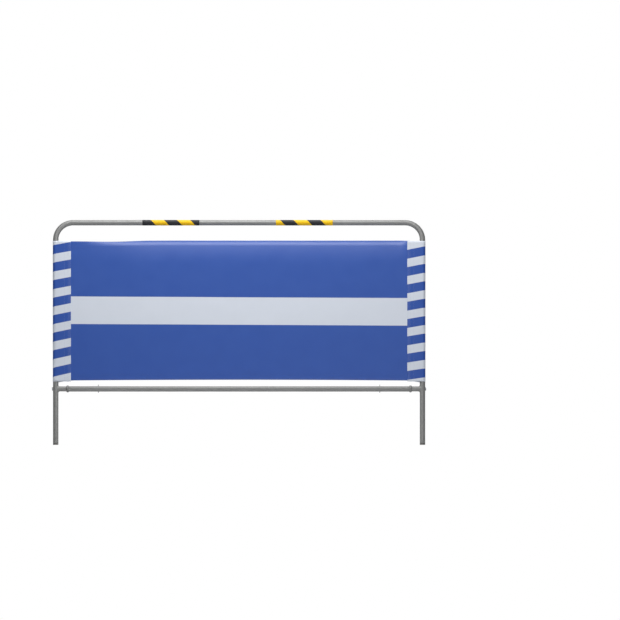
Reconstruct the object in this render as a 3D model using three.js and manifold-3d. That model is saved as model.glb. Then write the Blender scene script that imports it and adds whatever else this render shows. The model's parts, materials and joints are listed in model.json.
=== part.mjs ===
// A cloth-covered folding safety fence. The front frame is one bent steel pipe with a bolted
// crossbar, and a printed sheet hangs on it by two side pockets. The rear frame, two pipe legs
// and a crossbar, hinges behind the front legs, and two flat hooks hold the pair open.
// Millimetres, +Z up, the front faces -Y, and the origin is on the ground under the middle.
import * as THREE from "three";
import { mergeVertices } from "three/addons/utils/BufferGeometryUtils.js";
import Module from "manifold-3d";

// Driving dimensions of the whole fence
const FRAME_WIDTH = 1490; // over the outsides of the legs
const FRAME_HEIGHT = 900; // from the ground to the top of the top bar
const LEAN = THREE.MathUtils.degToRad(12.5); // of each frame from upright, standing open

// Gaps
const SEAT_GAP = 0.3; // between pieces that touch
const OVERRUN = 5; // how far a cut runs past what it cuts
const MERGE = 1e-4; // vertices closer than this are one

// Pipe
const PIPE_DIAMETER = 21.7;
const PIPE_WALL = 1.5;
const BEND_RADIUS = 70; // of the front pipe's centre line
const PIPE_SIDES = 24;
const BEND_STEPS = 9;

// Crossbars, one in each frame, that slide over a stub bolted to each leg
const CROSSBAR_HEIGHT = 224; // of the centre line over the ground
const NECK_LENGTH = 32; // of bare stub between leg and crossbar
const NECK_DIAMETER = 20.2;
const BEAD_DIAMETER = 28; // rolled on each end of the crossbar
const BEAD_WIDTH = 10;
const BEAD_ROUND = 4;
const STUB_INSERTION = 45;
const LEG_BOLT_DIAMETER = 8;
const LEG_BOLT_FLATS = 13;
const LEG_BOLT_HEAD = 3.5;
const LEG_BOLT_ENGAGEMENT = 18;

// Feet, a plug in each leg
const FOOT_THICKNESS = 2; // at the thin side of the flange
const FOOT_SPIGOT = 16;

// Hinges behind the front legs
const HINGE_OFFSET = 27; // of the pivot behind the front pipe's centre line
const HINGE_ABOVE_COVER = 17.5;
const EAR_THICKNESS = 2.5;
const EAR_GAP = 5;
const EAR_RADIUS = 10;
const WEB_THICKNESS = 2.5;
const WEB_HALF_LENGTH = 13;
const TAB_THICKNESS = 3.6; // of the rear leg where it is pressed flat
const TAB_LENGTH = 20; // of the flat below the pivot
const PRESS_LENGTH = 34; // over which the pipe goes from flat to round
const PRESS_STEPS = 7;
const PIVOT_DIAMETER = 6;
const PIVOT_FLATS = 10;
const PIVOT_HEAD = 4;
const PIVOT_NUT = 5;

// Cover
const CLOTH = 1.5; // thickness
const COVER_BELOW_BEND = 9.5; // its pockets end just under the pipe's bends
const COVER_ABOVE_CROSSBAR = 34.4; // of the panel's lower edge
const BAND_DROP = 4; // of the side bands' lower edges below the panel's
const POCKET_SLACK = 0.5; // between pipe and pocket
const POCKET_WIDTH = 45; // from the outer edge to the seam
const POCKET_RETURN = 10; // of cloth past the seam, behind the face
const BAND_WIDTH = 74; // of the striped side band's face
const BAND_LAP = 15; // of band over panel
const HEM_WIDTH = 28;
const CURL_RADIUS = 16; // of the panel's top edge
const CURL = THREE.MathUtils.degToRad(50);
const CURL_STEPS = 5;
const POCKET_STEPS = 14;

// Hazard tape round the top bar
const TAPE_LENGTH = 228;
const TAPE_THICKNESS = 0.6;
const TAPE_LEFT_INSET = 277; // of bare bar from the bend to the tape
const TAPE_RIGHT_INSET = 289;

// Spreader hooks, pivoted behind the front crossbar and dropped over the rear one
const HOOK_INSET = 131.3; // of the hooks' tabs from the crossbar's ends
const PLATE = 3; // thickness of hooks and of their tabs
const TAB_REACH = 22; // from the crossbar's centre to the rivet
const EYE_RADIUS = 9;
const RIVET_DIAMETER = 6;
const RIVET_HEAD_DIAMETER = 12;
const RIVET_HEAD = 2;
const HOOK_PLAY = 3.6; // of the notch round the rear crossbar
const HOOK_STOCK = 5.5; // of metal round the notch
const NOTCH_LIFT = 2; // of the notch's front corner over the crossbar's centre
const LIP_LENGTH = 9; // of the lip behind the crossbar
const NOTCH_STEPS = 9;
const SMALL_SIDES = 16;
const HEX_SIDES = 6;

// Finishes
const GALVANISED = { color: "#a2a4a5", roughness: 0.42, metalness: 0.85 };
const BRIGHT_ZINC = { color: "#b4b6b8", roughness: 0.35, metalness: 0.9 };
const BLACK_PLASTIC = { color: "#2e2f31", roughness: 0.6, metalness: 0 };
const BLUE_CLOTH = { color: "#3f5ca6", roughness: 0.55, metalness: 0 };
const STRIPED_CLOTH = { color: "#c2c9d5", roughness: 0.55, metalness: 0 };
const YELLOW_TAPE = { color: "#dcb41d", roughness: 0.4, metalness: 0 };

// Places that follow from the sizes. A slope is a distance up a leaning frame from the ground.
const pipeRadius = PIPE_DIAMETER / 2;
const pipeBore = pipeRadius - PIPE_WALL;
const legX = FRAME_WIDTH / 2 - pipeRadius;
const topSlope = (FRAME_HEIGHT - pipeRadius) / Math.cos(LEAN);
const bendSlope = topSlope - BEND_RADIUS;
const footSlope = pipeRadius * Math.tan(LEAN) + FOOT_THICKNESS + SEAT_GAP;
const crossbarSlope = CROSSBAR_HEIGHT / Math.cos(LEAN);
const crossbarEnd = legX - pipeRadius - NECK_LENGTH;
const hookX = crossbarEnd - HOOK_INSET;
const pocketInner = pipeRadius + POCKET_SLACK;
const pocketOuter = pocketInner + CLOTH;
const panelFace = SEAT_GAP - pocketInner;
const coverTop = bendSlope - COVER_BELOW_BEND;
const coverBottom = crossbarSlope + COVER_ABOVE_CROSSBAR;
const hingeSlope = coverTop + HINGE_ABOVE_COVER;
const rearHingeSlope = hingeSlope - HINGE_OFFSET * Math.tan(LEAN);
const footSpread =
  hingeSlope * Math.sin(LEAN) + HINGE_OFFSET * Math.cos(LEAN) + rearHingeSlope * Math.sin(LEAN);
const crossbarSpread = footSpread - 2 * CROSSBAR_HEIGHT * Math.tan(LEAN);

const wasm = await Module();
wasm.setup();

// Turns a closed mesh into a solid that can be cut and joined.
function solid(geometry) {
  const bare = geometry.index ? geometry.toNonIndexed() : geometry.clone();
  bare.deleteAttribute("normal");
  bare.deleteAttribute("uv");
  const merged = mergeVertices(bare, MERGE);
  return new wasm.Manifold(
    new wasm.Mesh({
      numProp: 3,
      vertProperties: merged.attributes.position.array,
      triVerts: merged.index.array,
    }),
  );
}

function geometryOf(made) {
  const mesh = made.getMesh();
  const geometry = new THREE.BufferGeometry();
  geometry.setAttribute("position", new THREE.BufferAttribute(mesh.vertProperties, mesh.numProp));
  geometry.setIndex(new THREE.BufferAttribute(mesh.triVerts, 1));
  geometry.computeVertexNormals();
  return geometry;
}

function add(group, name, made, finish) {
  const geometry = made.isBufferGeometry ? made : geometryOf(made);
  const mesh = new THREE.Mesh(geometry, new THREE.MeshStandardMaterial(finish));
  mesh.name = name;
  group.add(mesh);
}

function arc(x, y, radius, from, to, steps) {
  return Array.from({ length: steps + 1 }, (_, i) => {
    const angle = from + ((to - from) * i) / steps;
    return new THREE.Vector2(x + radius * Math.cos(angle), y + radius * Math.sin(angle));
  });
}

function circle(radius, sides, x = 0, y = 0) {
  return arc(x, y, radius, 0, 2 * Math.PI, sides).slice(0, sides);
}

// A shape drawn in y and z, extruded along x and centred on it.
function plate(points, thickness, holes = []) {
  const shape = new THREE.Shape(points);
  shape.holes = holes.map((hole) => new THREE.Path(hole));
  const geometry = new THREE.ExtrudeGeometry(shape, { depth: thickness, bevelEnabled: false });
  geometry.translate(0, 0, -thickness / 2);
  const axes = [
    new THREE.Vector3(0, 1, 0),
    new THREE.Vector3(0, 0, 1),
    new THREE.Vector3(1, 0, 0),
  ];
  return geometry.applyMatrix4(new THREE.Matrix4().makeBasis(...axes));
}

// A shape drawn in x and y, extruded up from one height to another.
function column(points, from, to) {
  const extrusion = { depth: to - from, bevelEnabled: false };
  return new THREE.ExtrudeGeometry(new THREE.Shape(points), extrusion).translate(0, 0, from);
}

// A turned piece along x: its profile lists radius and place along the axis.
function turned(profile, sides) {
  const points = profile.map(([radius, along]) => new THREE.Vector2(radius, along));
  return new THREE.LatheGeometry(points, sides).rotateZ(-Math.PI / 2);
}

function rodAlongX(radius, from, to, y, z, sides = PIPE_SIDES) {
  const geometry = new THREE.CylinderGeometry(radius, radius, Math.abs(to - from), sides);
  return geometry.rotateZ(Math.PI / 2).translate((from + to) / 2, y, z);
}

function rodAlongZ(radius, from, to, x, y) {
  const geometry = new THREE.CylinderGeometry(radius, radius, to - from, PIPE_SIDES);
  return geometry.rotateX(Math.PI / 2).translate(x, y, (from + to) / 2);
}

function ring(outer, inner, from, to) {
  return [
    [inner, from],
    [outer, from],
    [outer, to],
    [inner, to],
    [inner, from],
  ];
}

// A hexagon bolt along x: its head's seat is at the first place, its tip at the second.
function bolt(radius, flats, headHeight, seat, tip, z, y = 0) {
  const out = Math.sign(seat - tip);
  const corner = flats / 2 / Math.cos(Math.PI / HEX_SIDES);
  const head = solid(rodAlongX(corner, seat, seat + out * headHeight, y, z, HEX_SIDES));
  return head.add(solid(rodAlongX(radius, seat + (out * headHeight) / 2, tip, y, z, SMALL_SIDES)));
}

const root = new THREE.Group();
const frontFrame = new THREE.Group();
frontFrame.position.y = -footSpread / 2;
frontFrame.rotation.x = -LEAN;
const rearFrame = new THREE.Group();
rearFrame.position.y = footSpread / 2;
rearFrame.rotation.x = LEAN;
root.add(frontFrame, rearFrame);

const SIDES = [
  ["left", -1],
  ["right", 1],
];

// The front pipe's centre line, with points at its feet and round its bends.
class FrameLine extends THREE.Curve {
  constructor() {
    super();
    this.points = [];
    this.headings = [];
    const bends = [
      [-legX + BEND_RADIUS, Math.PI / 2],
      [legX - BEND_RADIUS, 0],
    ];
    this.put(-legX, footSlope, Math.PI / 2);
    for (const [x, start] of bends) {
      for (let i = 0; i <= BEND_STEPS; i++) {
        const heading = start - (Math.PI / 2) * (i / BEND_STEPS);
        const across = -BEND_RADIUS * Math.sin(heading);
        this.put(x + across, bendSlope + BEND_RADIUS * Math.cos(heading), heading);
      }
    }
    this.put(legX, footSlope, -Math.PI / 2);
  }

  put(x, z, heading) {
    this.points.push(new THREE.Vector3(x, 0, z));
    this.headings.push(new THREE.Vector3(Math.cos(heading), 0, Math.sin(heading)));
  }

  getSpacedPoints() {
    return this.points;
  }

  computeFrenetFrames() {
    const across = new THREE.Vector3(0, 1, 0);
    return {
      tangents: this.headings,
      normals: this.headings.map((heading) => across.clone().cross(heading)),
      binormals: this.headings.map(() => across),
    };
  }
}

function alongFrame(outer, inner = 0) {
  const line = new FrameLine();
  const section = new THREE.Shape(circle(outer, PIPE_SIDES));
  if (inner) section.holes.push(new THREE.Path(circle(inner, PIPE_SIDES)));
  return new THREE.ExtrudeGeometry(section, { steps: line.points.length - 1, extrudePath: line });
}

const boltHole = LEG_BOLT_DIAMETER / 2 + SEAT_GAP;

function legBoltHole(side) {
  const reach = pipeRadius + OVERRUN;
  const from = side * legX - reach;
  return solid(rodAlongX(boltHole, from, from + 2 * reach, 0, crossbarSlope, SMALL_SIDES));
}

function addFrontPipe() {
  let pipe = solid(alongFrame(pipeRadius, pipeBore));
  for (const [, side] of SIDES) pipe = pipe.subtract(legBoltHole(side));
  add(frontFrame, "front_frame_tube", pipe, GALVANISED);
}

// A crossbar with a rolled bead at each end.
function crossbar() {
  const bead = BEAD_DIAMETER / 2;
  const neck = crossbarEnd - BEAD_WIDTH;
  const profile = [
    [pipeBore, -crossbarEnd],
    [bead - BEAD_ROUND, -crossbarEnd],
    [bead, -crossbarEnd + BEAD_ROUND],
    [bead, -neck - BEAD_ROUND],
    [pipeRadius, -neck],
    [pipeRadius, neck],
    [bead, neck + BEAD_ROUND],
    [bead, crossbarEnd - BEAD_ROUND],
    [bead - BEAD_ROUND, crossbarEnd],
    [pipeBore, crossbarEnd],
    [pipeBore, -crossbarEnd],
  ];
  return turned(profile, PIPE_SIDES).translate(0, 0, crossbarSlope);
}

// The stub that the crossbar slides over, up to the shoulder of its neck. It is bored for its bolt,
// and its end is cut to saddle the leg.
function stub(side) {
  const radius = pipeBore - SEAT_GAP;
  const neck = NECK_DIAMETER / 2;
  const inside = crossbarEnd - STUB_INSERTION;
  const shoulder = crossbarEnd + SEAT_GAP;
  const profile = [
    [boltHole, inside],
    [radius, inside],
    [radius, shoulder],
    [neck, shoulder],
    [neck, legX],
    [boltHole, legX],
    [boltHole, inside],
  ].map(([reach, along]) => [reach, side * along]);
  const body = solid(turned(side < 0 ? profile.reverse() : profile, PIPE_SIDES));
  const leg = rodAlongZ(pipeRadius + SEAT_GAP, -neck - OVERRUN, neck + OVERRUN, side * legX, 0);
  return body.subtract(solid(leg)).translate([0, 0, crossbarSlope]);
}

function addCrossbar(group, end) {
  add(group, `${end}_crossbar`, crossbar(), GALVANISED);
  for (const [hand, side] of SIDES) {
    const seat = side * (legX + pipeRadius + SEAT_GAP);
    const tip = side * (legX - pipeRadius - LEG_BOLT_ENGAGEMENT);
    const screw = bolt(
      LEG_BOLT_DIAMETER / 2, LEG_BOLT_FLATS, LEG_BOLT_HEAD, seat, tip, crossbarSlope,
    );
    add(group, `${end}_crossbar_stub_${hand}`, stub(side), GALVANISED);
    add(group, `${end}_crossbar_bolt_${hand}`, screw, BRIGHT_ZINC);
  }
}

// A plug in a leg's end, with its flange cut level with the ground. The frame leans back by lean.
function foot(side, lean) {
  const flangeTop = footSlope - SEAT_GAP;
  const spigot = pipeBore - SEAT_GAP;
  const flange = rodAlongZ(pipeRadius, -PIPE_DIAMETER, flangeTop, side * legX, 0);
  const stem = rodAlongZ(spigot, 0, footSlope + FOOT_SPIGOT, side * legX, 0);
  const size = 2 * PIPE_DIAMETER;
  const ground = new THREE.BoxGeometry(size, size, size).translate(side * legX, 0, -size / 2);
  return solid(flange).add(solid(stem)).subtract(solid(ground.rotateX(lean)));
}

function addFeet(group, end, lean) {
  for (const [hand, side] of SIDES) {
    add(group, `${end}_foot_${hand}`, foot(side, lean), BLACK_PLASTIC);
  }
}

const pivotHole = PIVOT_DIAMETER / 2 + SEAT_GAP;

// A bracket of two ears and a web, its front coped to the bent pipe that it is welded to.
function hingeBracket(side, pipe) {
  const width = EAR_GAP + 2 * EAR_THICKNESS;
  const front = pipeRadius / 2;
  const outline = [
    new THREE.Vector2(front, hingeSlope - WEB_HALF_LENGTH),
    ...arc(HINGE_OFFSET, hingeSlope, EAR_RADIUS, -Math.PI / 2, Math.PI / 2, SMALL_SIDES / 2),
    new THREE.Vector2(front, hingeSlope + WEB_HALF_LENGTH),
  ];
  const webBack = pipeRadius + SEAT_GAP + WEB_THICKNESS;
  const slotDepth = HINGE_OFFSET + EAR_RADIUS + OVERRUN - webBack;
  const slotHeight = 2 * (WEB_HALF_LENGTH + OVERRUN);
  const slot = new THREE.BoxGeometry(EAR_GAP, slotDepth, slotHeight);
  slot.translate(0, webBack + slotDepth / 2, hingeSlope);
  const reach = width / 2 + OVERRUN;
  const hole = rodAlongX(pivotHole, -reach, reach, HINGE_OFFSET, hingeSlope, SMALL_SIDES);
  return solid(plate(outline, width))
    .subtract(solid(slot))
    .subtract(solid(hole))
    .translate([side * legX, 0, 0])
    .subtract(pipe);
}

function addHinges() {
  const pipe = solid(alongFrame(pipeRadius + SEAT_GAP));
  const halfWidth = EAR_GAP / 2 + EAR_THICKNESS + SEAT_GAP;
  const corner = PIVOT_FLATS / 2 / Math.cos(Math.PI / HEX_SIDES);
  for (const [hand, side] of SIDES) {
    const seat = side * (legX + halfWidth);
    const nutFrom = side * (legX - halfWidth);
    const nutTo = nutFrom - side * PIVOT_NUT;
    const screw = bolt(
      PIVOT_DIAMETER / 2, PIVOT_FLATS, PIVOT_HEAD, seat, nutTo, hingeSlope, HINGE_OFFSET,
    );
    const block = solid(
      rodAlongX(corner, nutFrom, nutTo, HINGE_OFFSET, hingeSlope, HEX_SIDES),
    );
    const hole = rodAlongX(
      pivotHole, nutFrom + side * OVERRUN, nutTo - side * OVERRUN, HINGE_OFFSET, hingeSlope,
      SMALL_SIDES,
    );
    add(frontFrame, `hinge_bracket_${hand}`, hingeBracket(side, pipe), GALVANISED);
    add(frontFrame, `hinge_bolt_${hand}`, screw, BRIGHT_ZINC);
    add(frontFrame, `hinge_nut_${hand}`, block.subtract(solid(hole)), BRIGHT_ZINC);
  }
}

function addTape(hand, side, inset) {
  const inner = pipeRadius + SEAT_GAP;
  const start = side * (legX - BEND_RADIUS - inset);
  const end = start - side * TAPE_LENGTH;
  const sleeve = ring(inner + TAPE_THICKNESS, inner, Math.min(start, end), Math.max(start, end));
  const geometry = turned(sleeve, PIPE_SIDES).translate(0, 0, topSlope);
  add(frontFrame, `hazard_tape_${hand}`, geometry, YELLOW_TAPE);
}

// The side band's outline and its pocket's, seen from above: a flat face that runs on in front of
// the leg, drawn round the leg and back to the seam behind the face, with a short return.
function bandSection(side) {
  const edge = pocketOuter - BAND_WIDTH;
  const seam = pocketOuter - POCKET_WIDTH;
  const returnEnd = seam - POCKET_RETURN;
  const returnBack = CLOTH - pocketInner;
  const around = (radius, back) => {
    const taper = Math.acos(radius / Math.hypot(seam, back)) - Math.atan(back / seam);
    return arc(0, 0, radius, -Math.PI / 2, Math.PI - taper, POCKET_STEPS);
  };
  const outline = [
    new THREE.Vector2(edge, -pocketOuter),
    ...around(pocketOuter, returnBack),
    new THREE.Vector2(seam, returnBack),
    new THREE.Vector2(returnEnd, returnBack),
    new THREE.Vector2(returnEnd, -pocketInner),
    new THREE.Vector2(edge, -pocketInner),
  ];
  const pocket = [
    new THREE.Vector2(seam, -pocketInner),
    ...around(pocketInner, -pocketInner),
  ];
  const place = (points) => {
    const placed = points.map(({ x, y }) => new THREE.Vector2(side * (legX + x), y));
    return side < 0 ? placed.reverse() : placed;
  };
  return [place(outline), place(pocket)];
}

// The panel's section, seen from the side: hemmed at both edges, its top curled back.
function panelSection() {
  const single = panelFace + CLOTH;
  const double = panelFace + 2 * CLOTH;
  const curlStart = coverTop - CURL_RADIUS * Math.sin(CURL);
  const curl = (radius, from, to) =>
    arc(panelFace + CURL_RADIUS, curlStart, radius, from, to, CURL_STEPS);
  return [
    new THREE.Vector2(panelFace, coverBottom),
    ...curl(CURL_RADIUS, Math.PI, Math.PI - CURL),
    ...curl(CURL_RADIUS - 2 * CLOTH, Math.PI - CURL, Math.PI),
    new THREE.Vector2(double, coverTop - HEM_WIDTH),
    new THREE.Vector2(single, coverTop - HEM_WIDTH),
    new THREE.Vector2(single, coverBottom + HEM_WIDTH),
    new THREE.Vector2(double, coverBottom + HEM_WIDTH),
    new THREE.Vector2(double, coverBottom),
  ];
}

function addCover() {
  const bandEdge = legX + pocketOuter - BAND_WIDTH;
  const panelWidth = 2 * (bandEdge + BAND_LAP);
  add(frontFrame, "cover_panel", plate(panelSection(), panelWidth), BLUE_CLOTH);
  const bandBottom = coverBottom - BAND_DROP;
  for (const [hand, side] of SIDES) {
    const [outline, pocket] = bandSection(side);
    const room = solid(column(pocket, bandBottom - OVERRUN, coverTop + OVERRUN));
    const band = solid(column(outline, bandBottom, coverTop)).subtract(room);
    add(frontFrame, `cover_band_${hand}`, band, STRIPED_CLOTH);
  }
}

// A rear leg: a pipe pressed flat at its top, where it is rounded and bored for the pivot.
function rearLeg(side) {
  const flatFrom = rearHingeSlope - TAB_LENGTH;
  const roundTo = flatFrom - PRESS_LENGTH;
  const profile = [new THREE.Vector2(0, footSlope), new THREE.Vector2(pipeRadius, footSlope)];
  for (let i = 0; i <= PRESS_STEPS; i++) {
    profile.push(new THREE.Vector2(pipeRadius, roundTo + (PRESS_LENGTH * i) / PRESS_STEPS));
  }
  profile.push(new THREE.Vector2(pipeRadius, rearHingeSlope), new THREE.Vector2(0, rearHingeSlope));
  const pipe = new THREE.LatheGeometry(profile, PIPE_SIDES).rotateX(Math.PI / 2);
  const place = pipe.attributes.position;
  for (let i = 0; i < place.count; i++) {
    const press = THREE.MathUtils.smoothstep(place.getZ(i), roundTo, flatFrom);
    const flat = THREE.MathUtils.clamp(place.getX(i), -TAB_THICKNESS / 2, TAB_THICKNESS / 2);
    place.setX(i, THREE.MathUtils.lerp(place.getX(i), flat, press));
  }
  const half = TAB_THICKNESS / 2;
  const reach = half + OVERRUN;
  const end = rodAlongX(pipeRadius, -half, half, 0, rearHingeSlope);
  const hole = rodAlongX(pivotHole, -reach, reach, 0, rearHingeSlope, SMALL_SIDES);
  const bore = rodAlongZ(pipeBore, footSlope - OVERRUN, roundTo - PIPE_WALL, 0, 0);
  return solid(pipe)
    .add(solid(end))
    .subtract(solid(hole))
    .subtract(solid(bore))
    .translate([side * legX, 0, 0])
    .subtract(legBoltHole(side));
}

// A plate that stands out behind the front crossbar, coped to it, with the rivet's hole.
function spreaderTab(pivotHoleRadius) {
  const outline = [
    new THREE.Vector2(0, -EYE_RADIUS),
    ...arc(TAB_REACH, 0, EYE_RADIUS, -Math.PI / 2, Math.PI / 2, SMALL_SIDES / 2),
    new THREE.Vector2(0, EYE_RADIUS),
  ];
  const hole = circle(pivotHoleRadius, SMALL_SIDES, TAB_REACH, 0);
  const bar = rodAlongX(pipeRadius + SEAT_GAP, -PLATE, PLATE, 0, 0);
  return solid(plate(outline, PLATE, [hole])).subtract(solid(bar));
}

// A flat hook from its rivet, at the origin, to a notch that drops over the rear crossbar.
function spreaderHook(pivotHoleRadius) {
  const reach = crossbarSpread - TAB_REACH;
  const notch = pipeRadius + HOOK_PLAY;
  const outer = notch + HOOK_STOCK;
  const centre = pipeRadius + SEAT_GAP - notch;
  const cornerAngle = Math.PI - Math.asin((NOTCH_LIFT - centre) / notch);
  const lip = HOOK_STOCK / 2;
  const outline = [
    ...arc(0, 0, EYE_RADIUS, Math.PI / 2, (3 * Math.PI) / 2, SMALL_SIDES / 2),
    ...arc(reach, centre, notch, cornerAngle, 0, NOTCH_STEPS),
    ...arc(reach + notch + lip, centre - LIP_LENGTH, lip, -Math.PI, 0, SMALL_SIDES / 4),
    ...arc(reach, centre, outer, 0, Math.PI / 2, NOTCH_STEPS),
  ];
  return plate(outline, PLATE, [circle(pivotHoleRadius, SMALL_SIDES)]);
}

// A rivet with a head outside each plate: half is from its middle to the inside of a head.
function rivet(half) {
  const radius = RIVET_DIAMETER / 2;
  const head = RIVET_HEAD_DIAMETER / 2;
  const profile = [
    [0, -half - RIVET_HEAD],
    [head, -half - RIVET_HEAD],
    [head, -half],
    [radius, -half],
    [radius, half],
    [head, half],
    [head, half + RIVET_HEAD],
    [0, half + RIVET_HEAD],
  ];
  return turned(profile, SMALL_SIDES);
}

function addSpreaders() {
  const hole = RIVET_DIAMETER / 2 + SEAT_GAP;
  const barY = -crossbarSpread / 2;
  for (const [hand, side] of SIDES) {
    const hookFrom = side * (hookX + PLATE + SEAT_GAP);
    const rivetX = side * (hookX + (PLATE + SEAT_GAP) / 2);
    const tab = spreaderTab(hole).translate([side * hookX, barY, CROSSBAR_HEIGHT]);
    const hook = spreaderHook(hole).translate(hookFrom, barY + TAB_REACH, CROSSBAR_HEIGHT);
    const pin = rivet(PLATE + (3 * SEAT_GAP) / 2);
    pin.translate(rivetX, barY + TAB_REACH, CROSSBAR_HEIGHT);
    add(root, `spreader_tab_${hand}`, tab, GALVANISED);
    add(root, `spreader_hook_${hand}`, hook, GALVANISED);
    add(root, `spreader_rivet_${hand}`, pin, BRIGHT_ZINC);
  }
}

addFrontPipe();
addCrossbar(frontFrame, "front");
addFeet(frontFrame, "front", LEAN);
addHinges();
addTape("left", -1, TAPE_LEFT_INSET);
addTape("right", 1, TAPE_RIGHT_INSET);
addCover();
for (const [hand, side] of SIDES) add(rearFrame, `rear_leg_${hand}`, rearLeg(side), GALVANISED);
addCrossbar(rearFrame, "rear");
addFeet(rearFrame, "rear", -LEAN);
addSpreaders();

export default root;
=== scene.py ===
"""A folding safety fence: two leaning pipe frames, a printed sheet stretched over the front one,
striped side bands, hazard tape, and flat hooks that hold the frames apart. Metres, +Z up."""

import json
from math import acos, asin, atan2, copysign, cos, degrees, dist, hypot, pi, radians, sin, sqrt, tan

import bmesh
import bpy
from mathutils import Matrix, Vector, noise


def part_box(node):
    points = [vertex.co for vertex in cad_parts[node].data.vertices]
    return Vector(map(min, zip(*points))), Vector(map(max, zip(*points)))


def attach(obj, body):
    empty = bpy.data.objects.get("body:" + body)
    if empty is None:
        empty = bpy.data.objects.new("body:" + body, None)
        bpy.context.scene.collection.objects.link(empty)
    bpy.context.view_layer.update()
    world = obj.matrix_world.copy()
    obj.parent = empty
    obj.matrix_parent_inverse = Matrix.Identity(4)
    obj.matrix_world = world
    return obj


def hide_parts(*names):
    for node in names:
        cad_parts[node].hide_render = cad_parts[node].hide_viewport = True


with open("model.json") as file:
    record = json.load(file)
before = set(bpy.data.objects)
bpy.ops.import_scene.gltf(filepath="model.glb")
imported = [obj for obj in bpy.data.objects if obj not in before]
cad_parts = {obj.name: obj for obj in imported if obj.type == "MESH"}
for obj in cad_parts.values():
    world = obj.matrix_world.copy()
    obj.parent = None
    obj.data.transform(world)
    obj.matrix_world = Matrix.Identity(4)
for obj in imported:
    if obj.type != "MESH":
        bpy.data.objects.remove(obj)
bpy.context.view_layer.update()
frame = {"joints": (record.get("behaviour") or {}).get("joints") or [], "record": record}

# The studio: a pale floor, an even pale room and soft lights above, in front and behind. The camera
# looks level at the fence from far off, without perspective, as the photograph does.
MM = 0.001
VIEW_SPAN = 2.482  # across the picture, in the plane of the fence
VIEW_CENTRE = (0.2838, 0.5398)  # across and up
VIEW_DISTANCE = 6.0
FLOOR_SPAN = 60.0
FLOOR_DROP = 0.2 * MM
ROOM_WHITE = (1.0, 1.0, 1.0, 1.0)

scene = bpy.context.scene


def shift(x, y, z):
    return Matrix.Translation((x, y, z))


def stand(name, shape):
    """Puts an object of a shape into the scene."""
    mesh = bpy.data.meshes.new(name)
    shape.to_mesh(mesh)
    shape.free()
    made = bpy.data.objects.new(name, mesh)
    scene.collection.objects.link(made)
    return made


def shine(name, place, aim, size, power):
    """A rectangular soft light at a place, aimed at a point."""
    lamp = bpy.data.lights.new(name, "AREA")
    lamp.shape = "RECTANGLE"
    lamp.size, lamp.size_y = size
    lamp.energy = power
    light = bpy.data.objects.new(name, lamp)
    light.location = place
    light.rotation_euler = (Vector(aim) - Vector(place)).to_track_quat("-Z", "Y").to_euler()
    light.visible_camera = False
    scene.collection.objects.link(light)


def light_room(overhead, underfoot):
    """A world that the camera sees as white, and that lights the fence from above to below."""
    world = bpy.data.worlds.new("room")
    world.use_nodes = True
    scene.world = world
    tree = world.node_tree
    tree.nodes.clear()
    place, height, ramp, lit, seen, path, mix, end = (
        tree.nodes.new("ShaderNode" + kind)
        for kind in (
            "TexCoord", "SeparateXYZ", "MapRange", "Background", "Background", "LightPath",
            "MixShader", "OutputWorld",
        )
    )
    ramp.inputs["From Min"].default_value = -1.0
    ramp.inputs["To Min"].default_value = underfoot
    ramp.inputs["To Max"].default_value = overhead
    seen.inputs["Color"].default_value = ROOM_WHITE
    for start, goal in (
        (place.outputs["Generated"], height.inputs[0]),
        (height.outputs["Z"], ramp.inputs["Value"]),
        (ramp.outputs[0], lit.inputs["Strength"]),
        (path.outputs["Is Camera Ray"], mix.inputs[0]),
        (lit.outputs[0], mix.inputs[1]),
        (seen.outputs[0], mix.inputs[2]),
        (mix.outputs[0], end.inputs["Surface"]),
    ):
        tree.links.new(start, goal)


camera_data = bpy.data.cameras.new("camera")
camera_data.type = "ORTHO"
camera_data.ortho_scale = VIEW_SPAN
camera = bpy.data.objects.new("camera", camera_data)
camera.location = (VIEW_CENTRE[0], -VIEW_DISTANCE, VIEW_CENTRE[1])
camera.rotation_euler = (pi / 2, 0, 0)
scene.collection.objects.link(camera)
scene.camera = camera
scene.view_settings.view_transform = "Standard"

light_room(overhead=0.32, underfoot=0.26)
shine("overhead_softbox", (-0.05, -0.6, 2.35), (0, 0, 0.6), (1.9, 1.2), 40)
shine("front_softbox", (0.75, -4.2, 0.7), (0, 0, 0.6), (2.6, 1.2), 20)
shine("back_softbox", (0.8, 3.4, 2.6), (0, 0, 0.5), (2.6, 1.6), 45)

floor_shape = bmesh.new()
bmesh.ops.create_grid(floor_shape, x_segments=1, y_segments=1, size=FLOOR_SPAN / 2)
floor_shape.transform(shift(0, 0, -FLOOR_DROP))
floor = stand("floor", floor_shape)


class Wire:
    """A value or vector inside a finish. Arithmetic on it adds the nodes."""

    def __init__(self, finish, socket):
        self.finish = finish
        self.socket = socket

    def __abs__(self):
        return self.finish.maths("ABSOLUTE", self)


def let_wires(name, operation):
    """Gives wires one operation of arithmetic, with a wire or a number on either side."""
    setattr(Wire, f"__{name}__", lambda self, other: self.finish.maths(operation, self, other))
    setattr(Wire, f"__r{name}__", lambda self, other: self.finish.maths(operation, other, self))


let_wires("add", "ADD")
let_wires("sub", "SUBTRACT")
let_wires("mul", "MULTIPLY")
let_wires("truediv", "DIVIDE")
let_wires("mod", "FLOORED_MODULO")


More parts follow.
